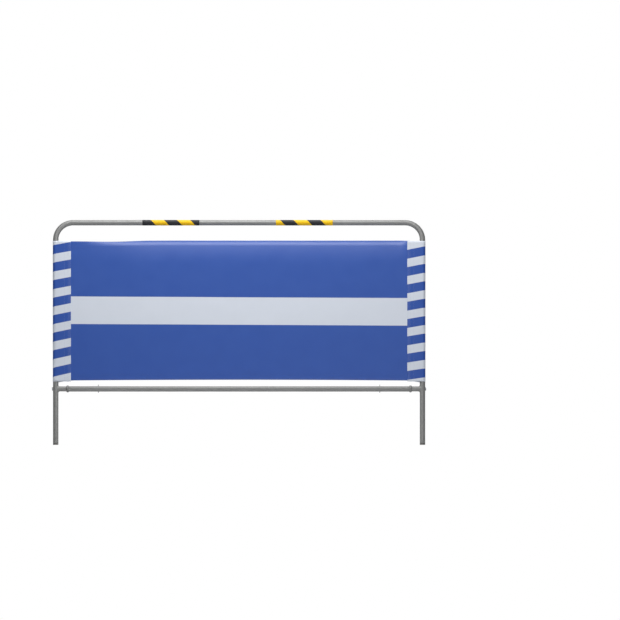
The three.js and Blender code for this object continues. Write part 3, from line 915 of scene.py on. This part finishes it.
for hand, side in SIDES:
    pin = axis_of(hand + "_spreader_lift")
    strip = shift(pin.x, pin.y, pin.z)
    beside = shift(pin.x - side * (PLATE + SEAT), FRONT_BAR.y, FRONT_BAR.z)
    between = shift(pin.x - side * (PLATE + SEAT) / 2, pin.y, pin.z)
    tab, hook = spreader_tab(pin.y - FRONT_BAR.y), spreader_hook(REAR_BAR.y - pin.y)
    for shape in (tab, hook):
        mark_run(shape, plate_run)
    piece(
        "spreader_lug_" + hand, tab, BRACKET_STEEL,
        ["spreader_tab_" + hand], beside,
    )
    piece(
        "spreader_strip_" + hand, hook, BRACKET_STEEL,
        ["spreader_hook_" + hand], strip, hand + "_spreader",
    )
    piece(
        "spreader_pin_" + hand, rivet(), PLATED_STEEL,
        ["spreader_rivet_" + hand], between,
    )
    lug_weld = bmesh.new()
    for way in (-1, 1):
        for back, up in arc(0, 0, PIPE_RADIUS, -LUG_WELD_TURN, LUG_WELD_TURN, LUG_WELD_STEPS):
            ripple(lug_weld, way * (PLATE / 2 + WELD_REACH), back, up)
    mark_run(lug_weld)
    piece("spreader_weld_" + hand, lug_weld, WELD_STEEL, (), beside, close=False)


# The sheet: white polyester cloth with a printed, plastic-coated face, stretched between the side
# bands in front of the legs. It is hemmed top and bottom, and the top edge rolls back.
CLOTH = 0.7 * MM
PANEL_FACE = -10.6 * MM  # of the cloth's middle, from the legs' centre lines
HEM_GAP = 0.9 * MM  # between the middles of the hem's two layers
HEM = 26 * MM
HEM_STEPS = 4
FACE_STEPS = 60
CURL_STEPS = 10
COVER_TOP = BEND_SLOPE - 8.8 * MM
TOP_ARCH = 7.1 * MM  # of the upper edge over its tied ends
PANEL_BOTTOM = CROSSBAR_SLOPE + 32.2 * MM
PANEL_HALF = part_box("cover_panel")[1].x
CURL_RADIUS = 30 * MM
CURL = radians(42)
LEAN_BACK = 10 * MM  # of the cloth's top before it rolls over
LEAN_BACK_HEIGHT = 90 * MM
TIED = 7 * MM  # of the cloth at each side, held flat between the layers of its band
TOP_LEFT = (330 * MM, 0.0, 4)  # width over which the roll grows, the tied end's rise, and how it grows
TOP_RIGHT = (40 * MM, 1.8 * MM, 1)
ARCH = 3.7 * MM  # of the lower edge's middle over its ends
SLACK_WAVE = 0.9 * MM  # height of the slack waves under the top edge
SLACK_DEPTH = 160 * MM  # how far down from that edge they reach
SLACK_RUN = (31 * MM, 90 * MM)  # of the waves and of their wandering, for each radian
SWELL = 1.3 * MM  # height of the broad unevenness
STAND_BACK = 1.0 * MM
HELD_WIDTH = 90 * MM  # at each side, over which the bands pull it flat
PANEL_COLUMNS = 180
WHITE_LOW = 480.6 * MM  # height over the ground of the white print's edges, at the middle
WHITE_HIGH = 590.8 * MM
PRINT_FALL = 0.005  # down for each unit to the right
YARN = 0.9 * MM


def panel_rows():
    """The sheet's section up the slope: (distance along the cloth, layer, back, slope)."""
    fold = HEM_GAP / 2
    low = PANEL_BOTTOM + fold
    curl_start = COVER_TOP - CURL_RADIUS * sin(CURL)
    hem_layer = PANEL_FACE + HEM_GAP
    points = [(hem_layer, hem_layer, low + HEM * (1 - i / HEM_STEPS)) for i in range(HEM_STEPS)]
    for back, slope in arc(PANEL_FACE + fold, low, fold, 0, -180, HEM_STEPS):
        points.append((back, back, slope))
    for i in range(1, FACE_STEPS):
        points.append((PANEL_FACE, PANEL_FACE, low + (curl_start - low) * i / FACE_STEPS))
    turn = 180 - degrees(CURL)
    outer = arc(PANEL_FACE + CURL_RADIUS, curl_start, CURL_RADIUS, 180, turn, CURL_STEPS)
    inner = arc(PANEL_FACE + CURL_RADIUS, curl_start, CURL_RADIUS - HEM_GAP, turn, 180, CURL_STEPS)
    points += [(PANEL_FACE, *point) for point in outer]
    points += [(hem_layer, *point) for point in inner]
    end = COVER_TOP - HEM
    for i in range(1, HEM_STEPS):
        points.append((hem_layer, hem_layer, curl_start + (end - curl_start) * i / (HEM_STEPS - 1)))
    rows = [(0.0, *points[0])]
    for before, after in zip(points, points[1:]):
        rows.append((rows[-1][0] + dist(before[1:], after[1:]), *after))
    return rows


PANEL_ROWS = panel_rows()
FACE_ROW = PANEL_ROWS[2 * HEM_STEPS + 1]
PRINT_START = FACE_ROW[0] - FACE_ROW[3]


def billow(x, slope):
    """How far back the taut sheet stands from its plane: slack waves under the top edge, more on
    the left, and a faint pull towards each corner."""
    high = smooth((slope - (COVER_TOP - SLACK_DEPTH)) / SLACK_DEPTH)
    left = smooth((0.1 - x) / 0.6)
    held = smooth((PANEL_HALF - abs(x)) / HELD_WIDTH)
    turn = x / SLACK_RUN[0] + 0.6 * sin(x / SLACK_RUN[1])
    waves = sin(turn) * (0.35 + 0.65 * left) * high
    broad = noise.noise(Vector((x * 3.1, slope * 4.3, 0.7))) + 0.35 * sin(x / 0.19 + 1.1)
    return held * (SLACK_WAVE * waves + SWELL * broad + STAND_BACK)


def hung(x, layer, back, slope):
    """Where a point of the sheet ends up: rolled, leaning back, waving, and arched below."""
    fade, tied_rise, power = TOP_LEFT if x < 0 else TOP_RIGHT
    freed = smooth((PANEL_HALF - TIED - abs(x)) / fade)
    arched = tied_rise + (TOP_ARCH - tied_rise) * freed**power
    rise = max(0.0, (slope - COVER_TOP) / LEAN_BACK_HEIGHT + 1)
    low = (COVER_TOP - slope) / (COVER_TOP - PANEL_BOTTOM)
    back = layer + (back - layer) * freed
    back += LEAN_BACK * rise**2 * freed + billow(x, slope)
    up = slope + arched * rise**2 + ARCH * (1 - (x / PANEL_HALF) ** 2) * low**4
    return Vector((x, back, up))


def lay_cloth(columns, rows, shape_at):
    """A grid whose points are placed by column and row number, with flat cloth places as UVs."""
    shape = bmesh.new()
    bmesh.ops.create_grid(shape, x_segments=columns, y_segments=rows, size=0.5)
    flat = shape.verts.layers.float_vector.new("flat")
    for vert in shape.verts:
        column, row = round((vert.co.x + 0.5) * columns), round((vert.co.y + 0.5) * rows)
        vert.co, vert[flat] = shape_at(column, row)
    uv = shape.loops.layers.uv.new("cloth")
    for face in shape.faces:
        for loop in face.loops:
            loop[uv].uv = loop.vert[flat].xy
    return shape


def panel_point(column, row):
    along, layer, back, slope = PANEL_ROWS[row]
    x = PANEL_HALF * (2 * column / PANEL_COLUMNS - 1)
    return hung(x, layer, back, slope), Vector((x, along - PRINT_START, 0))


def weave(cloth, across, up):
    """The height of a plain weave, from 0 to 1: yarns over and under in turn."""
    step = pi / YARN
    warp = cloth.maths("SINE", across * step)
    weft = cloth.maths("SINE", up * step)
    return 0.5 + 0.5 * warp * weft


def printed_cloth(name, blue, white, mask_of, fade=0.0, highlight_of=None):
    """Coated cloth printed blue and white, where mask_of says how white it is. It shows its weave
    through the coating, an uneven ink and, if faded, the pale back of the print."""
    cloth = Finish(name, Specular_IOR_Level=0.74, Sheen_Weight=0.05, Sheen_Roughness=0.4)
    flat = cloth.attribute("cloth")
    across, up, _ = cloth.parts_of(flat)
    white_share = mask_of(cloth, across, up)
    bumps = weave(cloth, across, up)
    ink = cloth.cloud(flat, 60 * MM, 4.0)
    grain = cloth.cloud(flat, 1.4 * MM, 2.0)
    depth = 0.5 * ink + 0.3 * grain + 0.2 * bumps
    blue_ink = cloth.mix(depth, *blue)
    white_cloth = cloth.mix(depth, *white)
    colour = cloth.mix(white_share, blue_ink, white_cloth)
    if fade:
        colour = cloth.mix(fade, colour, white[1])
    # A painted highlight: the lapped edge is mixed a little toward the white cloth.
    if highlight_of:
        colour = cloth.mix(0.03 * highlight_of(cloth, across), colour, white[1])
    cloth.relief(0.75 * bumps + 0.25 * grain, 0.09 * MM, 0.5)
    return cloth.surface(Base_Color=colour, Roughness=0.36 + 0.12 * ink)


def seen_at(height, back):
    """The slope at which a point this far back stands at this height."""
    return (height + back * sin(LEAN)) / cos(LEAN)


def sheet_print(cloth, across, up):
    """White between the two edges of the printed band, with ink edges half a millimetre soft."""
    soft = 0.4 * MM
    low, high = seen_at(WHITE_LOW, PANEL_FACE), seen_at(WHITE_HIGH, PANEL_FACE)
    level = up + PRINT_FALL * across
    return cloth.ease(level, low - soft, low) * (1 - cloth.ease(level, high, high + soft))


BLUE_INK = (screen(22, 71, 160), screen(30, 82, 171))
WHITE_CLOTH = (screen(208, 215, 226), screen(218, 224, 235))
SHEET_FACE = printed_cloth("printed_sheet", BLUE_INK, WHITE_CLOTH, sheet_print)
SHEET_BACK = printed_cloth("sheet_back", BLUE_INK, WHITE_CLOTH, sheet_print, fade=0.16)


def thicken(made, name, thickness, backed=False):
    """Gives a sheet its thickness, half to each side, and its back the second finish if backed."""
    solid = made.modifiers.new(name, "SOLIDIFY")
    solid.thickness = thickness
    solid.offset = 0
    solid.use_even_offset = False
    if backed:
        solid.material_offset = 1
        solid.material_offset_rim = 0


panel = piece(
    "cover_sheet", lay_cloth(PANEL_COLUMNS, len(PANEL_ROWS) - 1, panel_point),
    (SHEET_FACE, SHEET_BACK), ["cover_panel"], FRONT, close=False,
)
thicken(panel, "cloth_thickness", CLOTH, backed=True)


# The side bands: a strip of striped cloth at each side, sewn over the sheet's edge. It runs flat
# across the leg's front, is drawn round the leg and sewn to itself behind the face, as a pocket. Its
# end is lapped over the back of the sheet's edge and caught by the same row of stitches.
POCKET_RADIUS = 11.4 * MM
BAND_FACE = -POCKET_RADIUS
RETURN_LAYER = BAND_FACE + 0.8 * MM
BAND_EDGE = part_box("cover_band_right")[0].x + 0.3 * MM
SEAM_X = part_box("cover_band_right")[1].x - 45 * MM
FLAP = ((5, 0.0), (9, 0.0), (11, 0.5), (13, 1.0), (20, 1.0))  # millimetres past the seam, share of step
FLAP_STEP = 1.7 * MM  # back over the sheet's hemmed edge
BAND_TOP = BEND_SLOPE - 7 * MM
BAND_BOTTOM = PANEL_BOTTOM - 4 * MM
BAND_ROWS = 96
FACE_COLUMNS = 14
POCKET_COLUMNS = 34
LOOSE_COLUMNS = 8
STRIPE_PITCHES = {"left": slope_of(69.9 * MM), "right": slope_of(69.55 * MM)}
STRIPE_WHITE_SHARE = 0.485
STRIPE_SOFT = 0.3 * MM
STRIPE_MIDDLE = 709.4 * MM  # of the face, out from the fence's middle
STRIPE_RISES = {"left": 0.204, "right": 0.181}  # up for each unit to the right, at STRIPE_LEVEL
STRIPE_FAN = 0.104  # more of that rise for each metre up, outwards
STRIPE_LEVEL = 557 * MM
STRIPE_STARTS = {"left": 768.7 * MM, "right": 750.6 * MM}  # slope of a white one at mid face
PUCKER = 1.6 * MM
LAP_HIGHLIGHT = 9.5 * MM  # width of the painted highlight along the lapped edge over the sheet


def band_path():
    """The band's section from its inner edge round the leg and back: (along, x, back, looseness)."""
    seam = Vector((SEAM_X - LEG_X, RETURN_LAYER))
    taper = degrees(acos(POCKET_RADIUS / seam.length))
    leaves = degrees(atan2(-seam.y, -seam.x)) + 180 - taper
    points = [
        (BAND_EDGE + (LEG_X - BAND_EDGE) * i / FACE_COLUMNS, BAND_FACE, 0)
        for i in range(FACE_COLUMNS)
    ]
    points += [(*point, 0) for point in arc(LEG_X, 0, POCKET_RADIUS, -90, leaves, POCKET_COLUMNS)]
    start = Vector(points[-1][:2])
    end = Vector((SEAM_X, RETURN_LAYER))
    for i in range(1, LOOSE_COLUMNS + 1):
        share = i / LOOSE_COLUMNS
        points.append((*start.lerp(end, share), sin(pi * share)))
    points += [(SEAM_X - run * MM, RETURN_LAYER + FLAP_STEP * share, 0) for run, share in FLAP]
    path = [(BAND_EDGE, *points[0])]
    for before, after in zip(points, points[1:]):
        path.append((path[-1][0] + dist(before[:2], after[:2]), *after))
    return path


BAND_PATH = band_path()


def band_point(side):
    def place(column, row):
        along, x, back, loose = BAND_PATH[column]
        slope = BAND_BOTTOM + (BAND_TOP - BAND_BOTTOM) * row / BAND_ROWS
        pucker = noise.noise(Vector((side * 3.0 + x * 12, back * 20, slope * 26)))
        back += PUCKER * loose * (0.4 + pucker)
        return Vector((side * x, back, slope)), Vector((side * along, slope, 0))

    return place


def stripes(hand, side):
    """Slanting white and blue stripes that rise to the right, a little fanned."""

    def print_of(cloth, across, up):
        rise = side * STRIPE_FAN * (up - STRIPE_LEVEL) + STRIPE_RISES[hand]
        level = up - rise * (across - side * STRIPE_MIDDLE) - STRIPE_STARTS[hand]
        pitch = STRIPE_PITCHES[hand]
        return cloth.bars(level / pitch, STRIPE_WHITE_SHARE, STRIPE_SOFT / pitch)

    return print_of


def painted_lap_highlight(cloth, across):
    """1 on the edge that laps over the sheet, where a highlight is painted."""
    return 1 - cloth.ease(abs(across), BAND_EDGE + LAP_HIGHLIGHT, BAND_EDGE + LAP_HIGHLIGHT + MM)


STRIPE_BLUE = (screen(14, 68, 158), screen(22, 78, 170))
for hand, side in SIDES:
    face = printed_cloth(
        "stripes_" + hand, STRIPE_BLUE, WHITE_CLOTH, stripes(hand, side), highlight_of=painted_lap_highlight
    )
    band = piece(
        "side_band_" + hand, lay_cloth(len(BAND_PATH) - 1, BAND_ROWS, band_point(side)), face,
        ["cover_band_" + hand], FRONT, close=False,
    )
    thicken(band, "cloth_thickness", CLOTH)


# The stitching: lockstitch in polyester thread along the sheet's hems, twice down the lap of each
# band over the sheet, and once down the pocket's seam. Each stitch is a small twisted length.
STITCH_PITCH = 4 * MM
STITCH_LENGTH = 3.1 * MM
THREAD = 0.48 * MM
LAP_ROWS = (3.2 * MM, 11.5 * MM)  # in from the band's inner edge
SEAM_ROW = 2.2 * MM  # inside the pocket's crease
HEM_ROW = 3 * MM  # from the hem's free edge
HEM_ROW_END = 2 * MM  # under the bands' inner edges
BAND_ROW_ENDS = (2 * MM, 4 * MM)  # short of the seam's lower and upper end


def thread(name, dark, light):
    """Polyester thread, its twist showing as slanting ridges."""
    yarn = Finish(name, Sheen_Weight=0.3)
    twist = yarn.cloud(yarn.place(), 0.3 * MM)
    yarn.relief(twist, 0.08 * MM, 0.8)
    return yarn.surface(Base_Color=yarn.mix(twist, dark, light), Roughness=0.62 + 0.1 * twist)


BLUE_THREAD = thread("blue_thread", screen(44, 64, 128), screen(84, 108, 180))
PALE_THREAD = thread("pale_thread", screen(118, 130, 170), screen(160, 170, 200))


def stitch_row(shape, start, end, place_at):
    """Adds stitches from start to end, flat places of (x, slope), each where place_at puts it."""
    count = round(dist(start, end) / STITCH_PITCH)
    upright = abs(end[1] - start[1]) > abs(end[0] - start[0])
    size = Vector((STITCH_LENGTH, THREAD, THREAD)) / 2
    if upright:
        size.xz = size.zx
    for i in range(count):
        share = (i + 0.5) / count
        x, slope = (a + (b - a) * share for a, b in zip(start, end))
        place = shift(*place_at(x, slope)) @ Matrix.Diagonal((*size, 1))
        bmesh.ops.create_icosphere(shape, subdivisions=1, radius=1, matrix=place)


hem_seams = bmesh.new()
for slope in (PANEL_BOTTOM + HEM - HEM_ROW, COVER_TOP - HEM + HEM_ROW):
    ends = [(way * (BAND_EDGE - HEM_ROW_END), slope) for _, way in SIDES]
    for layer in (PANEL_FACE - CLOTH / 2, PANEL_FACE + HEM_GAP + CLOTH / 2):
        stitch_row(hem_seams, *ends, lambda x, slope, layer=layer: hung(x, layer, layer, slope))
hem_stitching = piece("hem_stitching", hem_seams, BLUE_THREAD, (), FRONT, close=False)

for hand, side in SIDES:
    seams = bmesh.new()
    for x, bottom, back in (
        (BAND_EDGE + LAP_ROWS[0], PANEL_BOTTOM, PANEL_FACE),
        (BAND_EDGE + LAP_ROWS[1], PANEL_BOTTOM, RETURN_LAYER + FLAP_STEP),
        (SEAM_X - SEAM_ROW, BAND_BOTTOM, RETURN_LAYER),
    ):
        low, high = bottom + BAND_ROW_ENDS[0], BAND_TOP - BAND_ROW_ENDS[1]
        ends = [(side * x, low), (side * x, high)]
        for layer in (BAND_FACE - CLOTH / 2, back + CLOTH / 2):
            stitch_row(seams, *ends, lambda x, slope, layer=layer: Vector((x, layer, slope)))
    piece(
        "band_stitching_" + hand, seams, PALE_THREAD, (), FRONT,
        close=False,
    )

for hand, _ in SIDES:
    BAND_PATH[-1][0] - BAND_EDGE
    BAND_TOP - BAND_BOTTOM


# The hazard tape: two wraps of printed adhesive film round the top bar, black and yellow in
# slanting bars. Each wrap laps over itself at the back, and its film bubbles slightly.
FILM = 0.25 * MM
FILM_CLEARANCE = 0.1 * MM
FILM_LAP = radians(22)
FILM_EDGE = radians(35)  # of the wrap's hidden edge, up from straight back
FILM_RAMP = 0.1  # radians over which the lapped end rises
BUBBLE = 0.08 * MM
FILM_ROWS = 60
FILM_COLUMNS = 46
BAR_PITCHES = {"left": 105.3 * MM, "right": 108.1 * MM}
BAR_YELLOW_SHARE = 0.495
BAR_SOFT = 0.4 * MM
BAR_STARTS = {"left": -318.6 * MM, "right": 253.6 * MM}  # middle of a yellow bar, on the front
BAR_SLANT = 0.88  # along the bar for each unit down it


def hazard_film(hand):
    """Yellow film with black bars, a glass-bead glitter, and rubbed edges."""
    film = Finish("hazard_film_" + hand, Coat_Weight=0.03, Specular_IOR_Level=0.25)
    along, around, _ = film.parts_of(film.attribute("cloth"))
    down = around - pi * PIPE_RADIUS
    pitch = BAR_PITCHES[hand]
    level = (along - BAR_SLANT * down - BAR_STARTS[hand]) / pitch
    yellow_share = film.bars(level, BAR_YELLOW_SHARE, BAR_SOFT / pitch)
    beads = film.cloud(film.place(), 0.5 * MM, 2.0)
    wear = film.cloud(film.place(), 14 * MM, 5.0)
    yellow = film.mix(0.5 * beads + 0.5 * wear, screen(232, 178, 2), screen(252, 206, 12))
    black = film.mix(0.5 * beads + 0.5 * wear, screen(24, 25, 27), screen(52, 53, 56))
    film.relief(0.4 * beads + 0.6 * wear, 0.06 * MM, 0.5)
    colour = film.mix(yellow_share, black, yellow)
    return film.surface(Base_Color=colour, Roughness=0.42 + 0.2 * wear)


def film_point(start, end):
    def place(column, row):
        x = start + (end - start) * column / FILM_COLUMNS
        turn = (2 * pi + FILM_LAP) * row / FILM_ROWS
        lapped = smooth((turn - 2 * pi + FILM_RAMP) / FILM_RAMP) * (FILM + FILM_CLEARANCE)
        bubble = BUBBLE * max(0.0, noise.noise(Vector((x * 60, turn * 1.4, 0.3))))
        radius = PIPE_RADIUS + FILM_CLEARANCE + FILM / 2 + lapped + bubble
        angle = turn + FILM_EDGE
        spot = Vector((x, radius * cos(angle), TOP_SLOPE + radius * sin(angle)))
        return spot, Vector((x, PIPE_RADIUS * angle, 0))

    return place


for hand, side in SIDES:
    node = "hazard_tape_" + hand
    low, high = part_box(node)
    wrap = lay_cloth(FILM_COLUMNS, FILM_ROWS, film_point(low.x, high.x))
    tape = piece(node + "_film", wrap, hazard_film(hand), [node], FRONT, close=False)
    thicken(tape, "film_thickness", FILM)
